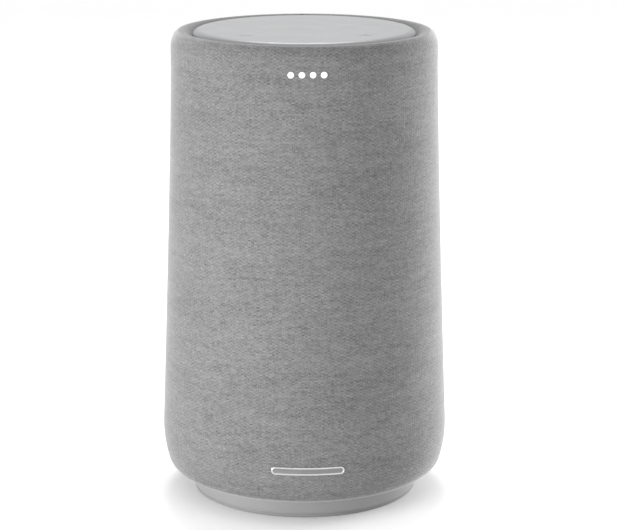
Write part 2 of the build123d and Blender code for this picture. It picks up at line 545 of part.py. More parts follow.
WELL_MID = (WELL_FRONT + WELL_BACK) / 2
WELL_LONG = WELL_BACK - WELL_FRONT
with BuildPart() as base_deck:
    with BuildSketch(Plane.XY.offset(DECK_Z)):
        Circle(DECK_R)
        with Locations((0, WELL_MID)):
            Rectangle(WELL_W + 3 * WELL_WALL, WELL_LONG + 3 * WELL_WALL, mode=Mode.SUBTRACT)
    extrude(amount=DECK_T)
    with Locations((0, 0, DECK_Z)):
        with Locations(*POST_AT):
            Cylinder(POST_R, BOX_FLOOR_Z - DECK_Z, align=BOTTOM)
        with GridLocations(2 * CHASSIS_AT, 2 * CHASSIS_AT, 2, 2):
            Cylinder(CHASSIS_BOSS_R, DECK_Z - FOOT_T - COVER_T, align=TOP)
    with Locations((0, 0, DECK_Z)):
        with Locations(*POST_AT):
            Cylinder(POST_BORE_R, POST_BORE_L, align=BOTTOM, mode=Mode.SUBTRACT)
            Cylinder(SCREW_R + SCREW_GAP, 2 * POST_BORE_L, align=BOTTOM, mode=Mode.SUBTRACT)
        with GridLocations(2 * CHASSIS_AT, 2 * CHASSIS_AT, 2, 2):
            Cylinder(SCREW_R, DECK_Z - FOOT_T - COVER_T, align=TOP, mode=Mode.SUBTRACT)
    with Locations((0, 0, DECK_Z + DECK_T)):
        with Locations((-BOARD_X, 0), (BOARD_X, 0)):
            with GridLocations(BOARD_HOLE_X, BOARD_HOLE_Y, 2, 2):
                Cylinder(STANDOFF_R, BOARD_Z - DECK_Z - DECK_T, align=BOTTOM)

with BuildPart() as base_ring:
    with BuildSketch(Plane.XZ):
        with BuildLine():
            inner = RING_FOOT_R - RING_WALL
            Line((inner, FOOT_T), (RING_FOOT_R - 0.8, FOOT_T))
            Bezier((RING_FOOT_R - 0.8, FOOT_T), (RING_FOOT_R, FOOT_T), (RING_FOOT_R + 0.5, FOOT_T + 2),
                   (RING_R, RING_TOP_Z))
            Polyline((RING_R, RING_TOP_Z), (inner, RING_TOP_Z), (inner, FOOT_T))
        make_face()
    revolve(axis=Axis.Z)
    with Locations((0, RING_R, 0)):
        Box(CHANNEL_W, 4 * RING_WALL, 2 * RING_TOP_Z, mode=Mode.SUBTRACT)

with BuildPart() as bottom_cover:
    with BuildSketch(Plane.XY.offset(FOOT_T)):
        gap = WELL_WALL + WELL_GAP
        Circle(COVER_R)
        with Locations((0, WELL_MID)):
            Rectangle(WELL_W + 2 * gap, WELL_LONG + 2 * gap, mode=Mode.SUBTRACT)
        with Locations((0, WELL_BACK)):
            Rectangle(CHANNEL_W + 2 * gap, COVER_R, align=(Align.CENTER, Align.MIN), mode=Mode.SUBTRACT)
    extrude(amount=COVER_T)
    with Locations(Plane(origin=(0, 0, FOOT_T), z_dir=UPSIDE_DOWN)):
        with GridLocations(2 * CHASSIS_AT, 2 * CHASSIS_AT, 2, 2):
            CounterBoreHole(SCREW_R + SCREW_GAP, SCREW_HEAD_R + 0.3, CHASSIS_SINK, depth=COVER_T)

with BuildPart() as cord_well:
    with BuildSketch(Plane.XY.offset(FOOT_T)):
        with Locations((0, WELL_MID)):
            Rectangle(WELL_W + 2 * WELL_WALL, WELL_LONG + 2 * WELL_WALL)
    extrude(amount=WELL_TOP + WELL_WALL - FOOT_T)
    with BuildSketch(Plane.XY.offset(FOOT_T)):
        with Locations((0, WELL_BACK)):
            Rectangle(CHANNEL_W + 2 * WELL_WALL, CHANNEL_END - WELL_BACK, align=(Align.CENTER, Align.MIN))
    extrude(amount=CHANNEL_TOP + WELL_WALL - FOOT_T)
    with BuildSketch(Plane.XY.offset(FOOT_T + COVER_T)):
        with Locations((0, WELL_MID)):
            Rectangle(WELL_W + 2 * (WELL_WALL + WELL_LIP), WELL_LONG + 2 * (WELL_WALL + WELL_LIP))
    extrude(amount=WELL_LIP_T)
    with BuildSketch(Plane.XY):
        with Locations((0, WELL_MID)):
            Rectangle(WELL_W, WELL_LONG)
    extrude(amount=WELL_TOP, mode=Mode.SUBTRACT)
    with BuildSketch(Plane.XY):
        with Locations((0, WELL_MID)):
            Rectangle(CHANNEL_W, COVER_R, align=(Align.CENTER, Align.MIN))
    extrude(amount=CHANNEL_TOP, mode=Mode.SUBTRACT)
    with BuildSketch(Plane.XY.offset(WELL_TOP)):
        with Locations((0, INLET_Y)):
            Rectangle(INLET_W + 0.4, INLET_L + 0.4)
        with Locations((0, SERVICE_Y)):
            Rectangle(SERVICE_W + 0.4, SERVICE_L + 0.4)
    extrude(amount=WELL_WALL, mode=Mode.SUBTRACT)

with BuildPart() as rubber_foot:
    ring(Plane.XY, FOOT_INNER_R, FOOT_R, 0, FOOT_T)
    chamfer(rubber_foot.edges().group_by(Axis.Z)[0].sort_by(SortBy.LENGTH)[-1], 0.5)
    with Locations((0, FOOT_R, 0)):
        Box(CHANNEL_W, 40, 2 * FOOT_T, mode=Mode.SUBTRACT)

with BuildPart() as chassis_screws:
    with Locations(Plane(origin=(0, 0, FOOT_T + CHASSIS_SINK), z_dir=UPSIDE_DOWN)):
        with GridLocations(2 * CHASSIS_AT, 2 * CHASSIS_AT, 2, 2):
            screw(11)
    with Locations(Plane(origin=(0, 0, DECK_Z + POST_BORE_L), z_dir=UPSIDE_DOWN)):
        with Locations(*[(x, -y) for x, y in POST_AT]):
            screw(14)

# ------------------------------------------------------------------ mains inlet and service port

with BuildPart() as mains_inlet:
    with BuildSketch(Plane.XY.offset(WELL_TOP)):
        with Locations((0, INLET_Y)):
            RectangleRounded(INLET_W, INLET_L, 2)
    extrude(amount=INLET_H)
    with BuildSketch(Plane.XY.offset(WELL_TOP + WELL_WALL)):
        with Locations((0, INLET_Y)):
            RectangleRounded(INLET_LIP_W, INLET_LIP_L, 3)
    extrude(amount=INLET_LIP_T)
    with BuildSketch(Plane.XY.offset(WELL_TOP)):
        with Locations((0, INLET_Y)):
            SlotOverall(SOCKET_W, SOCKET_L)
    extrude(amount=SOCKET_DEEP, mode=Mode.SUBTRACT)
    with Locations((0, INLET_Y, WELL_TOP)):
        with GridLocations(PIN_PITCH, 1, 2, 1):
            Cylinder(PIN_R, 3 * PIN_L, mode=Mode.SUBTRACT)

with BuildPart() as inlet_pins:
    with Locations((0, INLET_Y, WELL_TOP + PIN_SINK)):
        with GridLocations(PIN_PITCH, 1, 2, 1):
            Cylinder(PIN_R, PIN_L, align=BOTTOM)
    chamfer(inlet_pins.edges().group_by(Axis.Z)[0], 0.5)

with BuildPart() as service_port:
    with BuildSketch(Plane.XY.offset(WELL_TOP + 0.4)):
        with Locations((0, SERVICE_Y)):
            RectangleRounded(SERVICE_W, SERVICE_L, 0.8)
            RectangleRounded(SERVICE_W - 0.8, SERVICE_L - 0.8, 0.5, mode=Mode.SUBTRACT)
    extrude(amount=SERVICE_H)
    with Locations((0, SERVICE_Y, WELL_TOP + SERVICE_H / 2)):
        Box(4.6, 0.7, SERVICE_H / 2 + 0.4, align=BOTTOM)
    with Locations((0, SERVICE_Y, WELL_TOP + SERVICE_H + 0.4)):
        Box(SERVICE_W, SERVICE_L, 1, align=BOTTOM)

# ------------------------------------------------------------------ electronics


def circuit_board(centre_x):
    """Circuit board on four standoffs, with its screw holes."""
    with Locations((centre_x, 0, BOARD_Z)):
        Box(BOARD_W, BOARD_L, BOARD_T, align=BOTTOM)
        with GridLocations(BOARD_HOLE_X, BOARD_HOLE_Y, 2, 2):
            Cylinder(SCREW_R, 4 * BOARD_T, mode=Mode.SUBTRACT)


with BuildPart() as power_board:
    circuit_board(-BOARD_X)

with BuildPart() as main_board:
    circuit_board(BOARD_X)

with BuildPart() as board_screws:
    with Locations((-BOARD_X, 0, BOARD_TOP), (BOARD_X, 0, BOARD_TOP)):
        with GridLocations(BOARD_HOLE_X, BOARD_HOLE_Y, 2, 2):
            Cylinder(2.2, 1.5, align=BOTTOM)
            Cylinder(1.1, BOARD_T, align=TOP)

CORE_W, CORE_L, CORE_H, BOBBIN_H, BOBBIN_FOOT = 24.0, 18.0, 20.0, 14.0, 2.5
with BuildPart() as power_transformer:
    with Locations((-40, -14, BOARD_TOP)):
        Box(CORE_W, CORE_L, CORE_H, align=BOTTOM)
        Box(CORE_L, CORE_W, BOBBIN_H, align=BOTTOM)
        Box(CORE_W, CORE_W, BOBBIN_FOOT, align=BOTTOM)

with BuildPart() as power_capacitors:
    with Locations((-47, 17, BOARD_TOP), (-31, 17, BOARD_TOP)):
        Cylinder(6.5, 26, align=BOTTOM)
    chamfer(power_capacitors.edges().group_by(Axis.Z)[-1], 0.8)

with BuildPart() as processor_shield:
    with Locations((40, 14, BOARD_TOP)):
        Box(24, 26, 3.2, align=BOTTOM)
    fillet(processor_shield.edges().filter_by(Axis.Z), 1)

SINK_W, SINK_L, SINK_BASE, FIN_COUNT, FIN_PITCH, FIN_T, FIN_H = 16.0, 26.0, 3.0, 5, 3.2, 1.2, 18.0
with BuildPart() as amplifier_heatsink:
    with Locations((34, -16, BOARD_TOP)):
        Box(SINK_W, SINK_L, SINK_BASE, align=BOTTOM)
        with GridLocations(FIN_PITCH, 1, FIN_COUNT, 1):
            Box(FIN_T, SINK_L, FIN_H, align=BOTTOM)

with BuildPart() as antennas:
    with PolarLocations(70.5, 2, start_angle=0, angular_range=180):
        with Locations((0, 0, DECK_Z + DECK_T)):
            Box(1.2, 10, 34, align=BOTTOM)

LEAD_LOW_Z = BOARD_TOP + 2
with BuildPart() as speaker_leads:
    for (x, y), (end_x, end_y) in zip(LEAD_AT, LEAD_END_AT):
        height = WOOFER_Z if end_x > 30 else TWEETER_Z
        with BuildLine() as lead_line:
            FilletPolyline((x, y, LEAD_LOW_Z), (x, y, height - 12), (end_x, end_y, height), radius=8)
        with BuildSketch(Plane(origin=(x, y, LEAD_LOW_Z))):
            Circle(LEAD_R)
        sweep(path=lead_line.line)

PIN_TOP_Z, POWER_LEAD_Z = WELL_TOP + PIN_SINK + PIN_L, 55.0
with BuildPart() as power_leads:
    for side in (-1, 1):
        x = side * PIN_PITCH / 2
        end_x, end_y = -23 + 1.6 * side, 16 - 6 * side
        with BuildLine() as lead_line:
            FilletPolyline((x, INLET_Y, PIN_TOP_Z), (x, INLET_Y, POWER_LEAD_Z),
                           (end_x, end_y, POWER_LEAD_Z), (end_x, end_y, BOARD_TOP), radius=3)
        with BuildSketch(Plane(origin=(x, INLET_Y, PIN_TOP_Z))):
            Circle(LEAD_R)
        sweep(path=lead_line.line)

# ------------------------------------------------------------------ rear controls

with BuildPart() as rear_bezel:
    with BuildSketch(Plane.XZ):
        with Locations((BELLY_R + PROUD, REAR_Z)):
            Rectangle(BEZEL_T, REAR_H + 10, align=(Align.MAX, Align.CENTER))
    revolve(axis=Axis.Z)
    with BuildSketch(REAR):
        with Locations((0, REAR_Z)):
            RectangleRounded(REAR_W, REAR_H, REAR_CORNER - REAR_GAP)
    extrude(amount=THROUGH, mode=Mode.INTERSECT)
    fillet(rear_bezel.faces().sort_by(Axis.Y)[-1].edges(), 0.5)
    with BuildSketch(REAR):
        with Locations((0, REAR_Z)):
            RectangleRounded(REAR_W - 2 * BEZEL_RIM, REAR_H - 2 * BEZEL_RIM,
                             REAR_CORNER - REAR_GAP - BEZEL_RIM)
    extrude(amount=BEZEL_FACE_Y - REAR.origin.Y, mode=Mode.SUBTRACT)
    with BuildSketch(REAR):
        with Locations((-BUTTON_X, REAR_Z), (BUTTON_X, REAR_Z)):
            Circle(BUTTON_R + BUTTON_GAP)
    extrude(amount=THROUGH, mode=Mode.SUBTRACT)


def push_button(x):
    """Button cap with a retaining flange behind the bezel and a stem to its switch."""
    with Locations(Plane(origin=(x, BUTTON_FLANGE_Y, REAR_Z), x_dir=(-1, 0, 0), z_dir=(0, 1, 0))):
        Cylinder(BUTTON_R, BUTTON_FACE_Y - BUTTON_FLANGE_Y, align=BOTTOM)
        Cylinder(BUTTON_FLANGE_R, BUTTON_FLANGE_T, align=BOTTOM)
        Cylinder(BUTTON_STEM_R, BUTTON_FLANGE_Y - BUTTON_BACK_Y, align=TOP)


with BuildPart() as mute_button:
    push_button(BUTTON_X)
    chamfer(mute_button.edges().group_by(Axis.Y)[-1], BUTTON_BEVEL)

with BuildPart() as bluetooth_button:
    push_button(-BUTTON_X)
    chamfer(bluetooth_button.edges().group_by(Axis.Y)[-1], BUTTON_BEVEL)

with BuildPart() as button_board:
    with Locations((0, BUTTON_BOARD_Y, REAR_Z)):
        Box(BUTTON_BOARD_W, BOARD_T, BUTTON_BOARD_H)
    with Locations((0, BUTTON_BOARD_Y, DECK_Z + DECK_T)):
        with GridLocations(30, 1, 2, 1):
            Box(6, BOARD_T, REAR_Z - BUTTON_BOARD_H / 2 - DECK_Z - DECK_T, align=BOTTOM)

with BuildPart() as button_switches:
    board_face = BUTTON_BOARD_Y + BOARD_T / 2
    with Locations((-BUTTON_X, board_face, REAR_Z), (BUTTON_X, board_face, REAR_Z)):
        Box(SWITCH_W, SWITCH_L, SWITCH_W, align=(Align.CENTER, Align.MIN, Align.CENTER))
    with BuildSketch(REAR.offset(10)):
        with Locations((-BUTTON_X, REAR_Z), (BUTTON_X, REAR_Z)):
            Circle(SWITCH_BORE_R)
    extrude(amount=-SWITCH_BORE_L, mode=Mode.SUBTRACT)

# ------------------------------------------------------------------ files

PIECES = {
    "fabric_sleeve": fabric_sleeve, "grille_frame": grille_frame, "top_plate": top_plate,
    "top_frame": top_frame, "top_screws": top_screws, "touch_board": touch_board,
    "microphones": microphones, "microphone_gaskets": microphone_gaskets, "led_board": led_board,
    "led_emitters": led_emitters, "light_guide": light_guide, "touch_ribbon": touch_ribbon,
    "badge": badge, "enclosure_body": enclosure_body, "enclosure_lid": enclosure_lid,
    "lid_seal": lid_seal, "enclosure_screws": enclosure_screws, "bass_port": bass_port,
    "woofer_basket": woofer_basket, "woofer_gasket": woofer_gasket, "woofer_surround": woofer_surround,
    "woofer_cone": woofer_cone, "woofer_dust_cap": woofer_dust_cap,
    "woofer_voice_coil": woofer_voice_coil, "woofer_spider": woofer_spider,
    "woofer_top_plate": woofer_top_plate, "woofer_magnet": woofer_magnet, "woofer_yoke": woofer_yoke,
    "woofer_screws": woofer_screws, "tweeter_faceplate": tweeter_faceplate,
    "tweeter_dome": tweeter_dome, "tweeter_suspension": tweeter_suspension,
    "tweeter_coil": tweeter_coil, "tweeter_magnet": tweeter_magnet, "tweeter_yoke": tweeter_yoke,
    "tweeter_screws": tweeter_screws, "base_deck": base_deck, "base_ring": base_ring,
    "bottom_cover": bottom_cover, "cord_well": cord_well, "rubber_foot": rubber_foot,
    "chassis_screws": chassis_screws, "mains_inlet": mains_inlet, "inlet_pins": inlet_pins,
    "service_port": service_port, "power_board": power_board, "main_board": main_board,
    "board_screws": board_screws, "power_transformer": power_transformer,
    "power_capacitors": power_capacitors, "processor_shield": processor_shield,
    "amplifier_heatsink": amplifier_heatsink, "antennas": antennas, "speaker_leads": speaker_leads,
    "power_leads": power_leads, "rear_bezel": rear_bezel, "mute_button": mute_button,
    "bluetooth_button": bluetooth_button, "button_board": button_board,
    "button_switches": button_switches,
}

os.makedirs("parts", exist_ok=True)
for name, piece in PIECES.items():
    piece.part.label = name
    export_step(piece.part, f"parts/{name}.step")
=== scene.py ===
import json
from math import asin, cos, degrees, hypot, pi, radians, sin, sqrt

import bmesh
import bpy
from mathutils import Matrix, Vector


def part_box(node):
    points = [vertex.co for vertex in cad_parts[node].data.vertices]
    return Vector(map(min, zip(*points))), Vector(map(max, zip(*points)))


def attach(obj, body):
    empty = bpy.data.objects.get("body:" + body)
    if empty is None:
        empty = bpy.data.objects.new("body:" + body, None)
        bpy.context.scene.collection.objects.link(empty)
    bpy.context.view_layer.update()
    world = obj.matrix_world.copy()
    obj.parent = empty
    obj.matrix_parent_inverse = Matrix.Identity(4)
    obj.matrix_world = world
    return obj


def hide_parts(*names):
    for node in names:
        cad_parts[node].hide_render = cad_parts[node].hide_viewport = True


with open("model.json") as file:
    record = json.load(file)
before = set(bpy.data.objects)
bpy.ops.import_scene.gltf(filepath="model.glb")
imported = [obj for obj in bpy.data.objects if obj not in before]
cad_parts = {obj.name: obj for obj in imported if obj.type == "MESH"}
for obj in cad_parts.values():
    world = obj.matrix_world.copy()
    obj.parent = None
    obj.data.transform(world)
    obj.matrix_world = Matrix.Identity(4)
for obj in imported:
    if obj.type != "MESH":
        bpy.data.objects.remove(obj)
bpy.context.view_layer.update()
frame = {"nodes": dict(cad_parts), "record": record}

# A smart speaker: cloth barrel, touch plate, status lights, badge, plinth, and what is inside.
# Metres, +Z up, the front faces -Y. Sizes come from the frame's boxes, or are named here in millimetres.
MM = 0.001

# ------------------------------------------------------------------ sizes read from the frame

SLEEVE_LOW, SLEEVE_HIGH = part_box("fabric_sleeve")
_, PLATE_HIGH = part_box("top_plate")
RING_LOW, RING_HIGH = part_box("base_ring")
_, FOOT_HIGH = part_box("rubber_foot")
BADGE_LOW, BADGE_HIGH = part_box("badge")
GUIDE_LOW, GUIDE_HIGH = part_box("light_guide")
BEZEL_LOW, BEZEL_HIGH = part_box("rear_bezel")

BELLY_R = SLEEVE_HIGH.x
HEM_Z = SLEEVE_LOW.z
PLATE_R, PLATE_Z = PLATE_HIGH.x, PLATE_HIGH.z
LIGHT_Z = (GUIDE_LOW.z + GUIDE_HIGH.z) / 2
BADGE_Z = (BADGE_LOW.z + BADGE_HIGH.z) / 2
BEZEL_Z = (BEZEL_LOW.z + BEZEL_HIGH.z) / 2

# ------------------------------------------------------------------ sizes of the skin, near the CAD model's

BELLY_Z = 37 * MM
NECK_R, NECK_Z = 73.08 * MM, 240 * MM
TAPER_START_Z, TAPER_POWER = 41 * MM, 1.18
SHOULDER_Z, SHOULDER_R, SHOULDER_TURN = 250.7 * MM, 13.5 * MM, 30
RIM_R, ROLL_R, LIP_Z = 4.2 * MM, 6.0 * MM, 251.0 * MM
HEM_R, HEEL_X, HEEL_R, HEEL_TURN = 65.8 * MM, 68.5 * MM, 9.1 * MM, 76
CLOTH_T = 1.2 * MM

LIGHT_COUNT, LIGHT_PITCH, LIGHT_R = 4, 5.74 * MM, 1.65 * MM
HOLE_GAP = 0.1 * MM     # between the cloth's cut edge and what stands in the hole
LIGHT_X = [(i - (LIGHT_COUNT - 1) / 2) * LIGHT_PITCH for i in range(LIGHT_COUNT)]
SEGMENTS = 360


# ------------------------------------------------------------------ mesh helpers

def arc(centre, radius, start, turn, steps):
    """Points on a circle in the (r, z) half plane; angles in degrees."""
    angles = [radians(start + turn * i / steps) for i in range(steps + 1)]
    return [(centre[0] + radius * cos(a), centre[1] + radius * sin(a)) for a in angles]


def link(name, mesh, body="root", replaces=(), material=None, sharp=35):
    """New piece from a bmesh: smooth with sharp edges, its material, body and what it replaces."""
    data = bpy.data.meshes.new(name)
    mesh.to_mesh(data)
    mesh.free()
    data.shade_smooth()
    data.set_sharp_from_angle(angle=radians(sharp))
    piece = bpy.data.objects.new(name, data)
    bpy.context.scene.collection.objects.link(piece)
    if material:
        data.materials.append(material)
    if body:
        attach(piece, body)
    if replaces:
        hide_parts(*replaces)
    return piece


def turned(outline, segments, place=None, closed=True):
    """Mesh of revolution about Z from (r, z) points; points with r = 0 become one vertex each."""
    mesh = bmesh.new()
    rings = []
    for r, z in outline:
        if r < 1e-9:
            rings.append([mesh.verts.new((0, 0, z))] * segments)
        else:
            rings.append([mesh.verts.new((r * cos(2 * pi * i / segments), r * sin(2 * pi * i / segments), z))
                          for i in range(segments)])
    pairs = list(zip(rings, rings[1:] + rings[:1] if closed else rings[1:]))
    for low, high in pairs:
        for i in range(segments):
            j = (i + 1) % segments
            corners = []
            for v in (low[i], low[j], high[j], high[i]):
                if v not in corners:
                    corners.append(v)
            if len(corners) > 2 and mesh.faces.get(corners) is None:
                mesh.faces.new(corners)
    bmesh.ops.recalc_face_normals(mesh, faces=mesh.faces)
    if place:
        mesh.transform(place)
    return mesh


def stadium(width, height, steps=24, straight=1):
    """Outline of a slot, anticlockwise, centred on the origin, with its long sides divided."""
    r = height / 2
    half = width / 2 - r
    side = [(-half + 2 * half * i / straight, -r) for i in range(1, straight)]
    end = [(half + r * sin(pi * i / steps), -r * cos(pi * i / steps)) for i in range(steps + 1)]
    return end + [(-x, -y) for x, y in side] + [(-x, -y) for x, y in end] + side


def rounded(width, height, corner, steps=10):
    """Outline of a rounded rectangle, anticlockwise, centred on the origin."""
    points = []
    for cx, cy, start in ((1, -1, -90), (1, 1, 0), (-1, 1, 90), (-1, -1, 180)):
        for i in range(steps + 1):
            a = radians(start + 90 * i / steps)
            points.append((cx * (width / 2 - corner) + corner * cos(a),
                           cy * (height / 2 - corner) + corner * sin(a)))
    return points


def circle(radius, steps, x=0, y=0):
    """Outline of a circle, anticlockwise."""
    angles = [2 * pi * i / steps for i in range(steps)]
    return [(x + radius * cos(a), y + radius * sin(a)) for a in angles]


def cut(piece, cutters, sharp=30):
    """Cut the cutters out of the piece and drop them."""
    for cutter in cutters:
        step = piece.modifiers.new("cut", "BOOLEAN")
        step.operation = "DIFFERENCE"
        step.object = cutter
        step.solver = "EXACT"
    bpy.context.view_layer.update()
    result = bpy.data.meshes.new_from_object(piece.evaluated_get(bpy.context.evaluated_depsgraph_get()))
    piece.modifiers.clear()
    piece.data = result
    result.shade_smooth()
    result.set_sharp_from_angle(angle=radians(sharp))
    for cutter in cutters:
        bpy.data.objects.remove(cutter)


def prism(outline, place, depth):
    """Scratch solid for cutting: an (x, y) outline pushed along its own +Z."""
    mesh = bmesh.new()
    low = [mesh.verts.new((x, y, 0)) for x, y in outline]
    high = [mesh.verts.new((x, y, depth)) for x, y in outline]
    mesh.faces.new(low[::-1])
    mesh.faces.new(high)
    for i in range(len(outline)):
        j = (i + 1) % len(outline)
        mesh.faces.new((low[i], low[j], high[j], high[i]))
    bmesh.ops.recalc_face_normals(mesh, faces=mesh.faces)
    mesh.transform(place)
    data = bpy.data.meshes.new("cutter")
    mesh.to_mesh(data)
    mesh.free()
    piece = bpy.data.objects.new("cutter", data)
    bpy.context.scene.collection.objects.link(piece)
    return piece


def facing_front(x, z, y):
    """Local XY plane stands upright and faces -Y, at that point."""
    return Matrix.Translation((x, y, z)) @ Matrix.Rotation(radians(90), 4, "X")


def facing_rear(x, z, y):
    """Local XY plane stands upright and faces +Y, at that point."""
    return Matrix.Translation((x, y, z)) @ Matrix.Rotation(pi, 4, "Z") @ Matrix.Rotation(radians(90), 4, "X")


# ------------------------------------------------------------------ shader helpers

def new_material(name, color, roughness, **settings):
    """Principled material; constants sit on the shader's own sockets."""
    material = bpy.data.materials.new(name)
    material.use_nodes = True
    shader = material.node_tree.nodes["Principled BSDF"]
    shader.inputs["Base Color"].default_value = (*color, 1)
    shader.inputs["Roughness"].default_value = roughness
    for key, value in settings.items():
        shader.inputs[key.replace("_", " ")].default_value = value
    material.diffuse_color = (*color, 1)
    return material, material.node_tree, shader


def add(tree, kind, links=None, **settings):
    """New node; links maps its inputs, by name or index, to sockets or values."""
    node = tree.nodes.new(kind)
    for key, value in settings.items():
        setattr(node, key, value)
    for key, value in (links or {}).items():
        if isinstance(value, bpy.types.NodeSocket):
            tree.links.new(value, node.inputs[key])
        else:
            node.inputs[key].default_value = value
    return node


def maths(tree, operation, *values):
    """Result of one sum on sockets or numbers."""
    links = dict(enumerate(values))
    return add(tree, "ShaderNodeMath", links, operation=operation).outputs[0]


def noise(tree, vector, scale, detail=2.0, roughness=0.5):
    """Smooth noise from 0 to 1."""
    links = {"Vector": vector, "Scale": scale, "Detail": detail, "Roughness": roughness}
    return add(tree, "ShaderNodeTexNoise", links).outputs["Fac"]


def ramp(tree, fac, *stops):
    """Colour ramp through (position, grey or colour) stops."""
    node = add(tree, "ShaderNodeValToRGB", {"Fac": fac})
    elements = node.color_ramp.elements
    while len(elements) < len(stops):
        elements.new(0.5)
    for element, (position, color) in zip(elements, stops):
        element.position = position
        element.color = (*color, 1) if isinstance(color, (tuple, list)) else (color, color, color, 1)
    return node.outputs["Color"]


def bump(tree, shader, height, strength, distance):
    """Relief on the shader; distance is its depth in metres."""
    node = add(tree, "ShaderNodeBump", {"Height": height, "Strength": strength, "Distance": distance})
    tree.links.new(node.outputs["Normal"], shader.inputs["Normal"])


def shaded(tree, color, shade):
    """Colour multiplied by a grey."""
    node = add(tree, "ShaderNodeMix", {0: 1.0, 6: color, 7: shade}, data_type="RGBA", blend_type="MULTIPLY")
    return node.outputs[2]


def scaled(color, factor):
    """Colour made lighter or darker, kept in range."""
    return tuple(min(1.0, c * factor) for c in color)


def moulded(name, color, roughness, grain=2600, depth=0.02, spread=0.06, **settings):
    """Moulded plastic or rubber: fine spark texture, faint colour drift, and handling marks in the gloss."""
    material, tree, shader = new_material(name, color, roughness, **settings)
    place = add(tree, "ShaderNodeTexCoord").outputs["Object"]
    drift = noise(tree, place, 18, 3)
    tree.links.new(ramp(tree, drift, (0.3, scaled(color, 1 - spread)), (0.7, scaled(color, 1 + spread))),
                   shader.inputs["Base Color"])
    marks = noise(tree, place, 60, 4, 0.6)
    tree.links.new(ramp(tree, marks, (0.25, max(0, roughness - 0.05)), (0.75, roughness + 0.06)),
                   shader.inputs["Roughness"])
    bump(tree, shader, noise(tree, place, grain, 2), 0.35, depth * MM)
    return material


def metal(name, color, roughness, stretch=(1, 1, 1), depth=0.01, **settings):
    """Worked metal: fine lines along the axes with a small stretch, and mottled polish."""
    material, tree, shader = new_material(name, color, roughness, Metallic=1.0, **settings)
    place = add(tree, "ShaderNodeTexCoord").outputs["Object"]
    lines = add(tree, "ShaderNodeMapping", {"Vector": place, "Scale": stretch}).outputs[0]
    grain = noise(tree, lines, 1400, 3, 0.6)
    mottle = noise(tree, place, 90, 3)
    tree.links.new(ramp(tree, mottle, (0.3, scaled(color, 0.92)), (0.7, scaled(color, 1.05))),
                   shader.inputs["Base Color"])
    tree.links.new(ramp(tree, grain, (0.3, max(0.02, roughness - 0.06)), (0.7, roughness + 0.1)),
                   shader.inputs["Roughness"])
    bump(tree, shader, grain, 0.2, depth * MM)
    return material


# ------------------------------------------------------------------ materials

WARP, WEFT = 1.75 * MM, 0.87 * MM     # a bundle of warp yarns, and one weft yarn
STRANDS = 3.0                         # yarns in a bundle
CLOTH_R = 78 * MM                     # between the neck's radius and the belly's
CLOTH_ROUND = 2 * round(pi * CLOTH_R / WARP) * WARP     # a whole number of bundles around the body
SEAM_W = 4 * MM
LATTICE, SPECKLE, FIBRE = 0.15, 0.26, 0.42              # share of each effect in the cloth's tone
WEFT_STREAK, WARP_STREAK, SLUB = 0.75, 0.42, 0.40


def woven_cloth(name, dark, light):
    """Plain weave of melange yarns; the UV map holds the cloth's own width and length in metres."""
    material, tree, shader = new_material(name, light, 0.9, Sheen_Weight=0.6, Sheen_Roughness=0.35,
                                          Specular_IOR_Level=0.15)
    cloth = add(tree, "ShaderNodeUVMap", uv_map="cloth").outputs["UV"]
    across, along, _ = add(tree, "ShaderNodeSeparateXYZ", {"Vector": cloth}).outputs
    warp = maths(tree, "DIVIDE", across, WARP)
    weft = maths(tree, "DIVIDE", along, WEFT)
    strand = maths(tree, "FLOOR", maths(tree, "MULTIPLY", warp, STRANDS))
    fibre = maths(tree, "FLOOR", maths(tree, "MULTIPLY", weft, 2.0))
    column = maths(tree, "FLOOR", warp)
    row = maths(tree, "FLOOR", weft)

    def place(x, y, z):
        """Point made of three values."""
        return add(tree, "ShaderNodeCombineXYZ", {"X": x, "Y": y, "Z": z}).outputs[0]

    def random(x, y, seed):
        """One value from 0 to 1 for each whole-numbered place."""
        return add(tree, "ShaderNodeTexWhiteNoise", {"Vector": place(x, y, seed)},
                   noise_dimensions="3D").outputs["Value"]

    def along_yarn(number, length, rate, seed):
        """Light and dark fibres along one yarn."""
        return noise(tree, place(maths(tree, "MULTIPLY", length, rate), maths(tree, "MULTIPLY", number, 7.31),
                                 seed), 1.0, 3, 0.7)

    lattice = maths(tree, "MULTIPLY", maths(tree, "SINE", maths(tree, "MULTIPLY", warp, pi)),
                    maths(tree, "SINE", maths(tree, "MULTIPLY", weft, pi)))
    uneven = place(maths(tree, "MULTIPLY", across, 22.0), maths(tree, "MULTIPLY", along, 110.0), 2.6)
    slub = noise(tree, uneven, 1.0, 3, 0.6)
    tone = 0.5 - 0.5 * (SPECKLE + FIBRE + WEFT_STREAK + WARP_STREAK + SLUB)
    for value, weight in ((lattice, LATTICE), (random(column, row, 0.5), SPECKLE),
                          (random(strand, fibre, 8.5), FIBRE),
                          (along_yarn(row, across, 75.0, 4.3), WEFT_STREAK),
                          (along_yarn(strand, along, 150.0, 91.7), WARP_STREAK), (slub, SLUB)):
        tone = maths(tree, "MULTIPLY_ADD", value, weight, tone)
    seam = maths(tree, "MINIMUM", across, maths(tree, "SUBTRACT", CLOTH_ROUND, across))
    # painted shade: the cloth's colour is darkened towards the middle of the rear seam's groove
    groove = ramp(tree, maths(tree, "DIVIDE", seam, SEAM_W), (0.0, 0.35), (0.3, 1.0))
    color = shaded(tree, ramp(tree, tone, (0.0, dark), (1.0, light)), groove)
    tree.links.new(color, shader.inputs["Base Color"])
    lips = ramp(tree, maths(tree, "DIVIDE", seam, SEAM_W), (0.0, 0.0), (0.25, 1.0), (0.7, 0.6), (1.0, 0.3))
    relief = maths(tree, "MULTIPLY_ADD", tone, 0.6, maths(tree, "ABSOLUTE", lattice))
    bump(tree, shader, maths(tree, "MULTIPLY_ADD", lips, 3.0, relief), 0.4, 0.1 * MM)
    return material


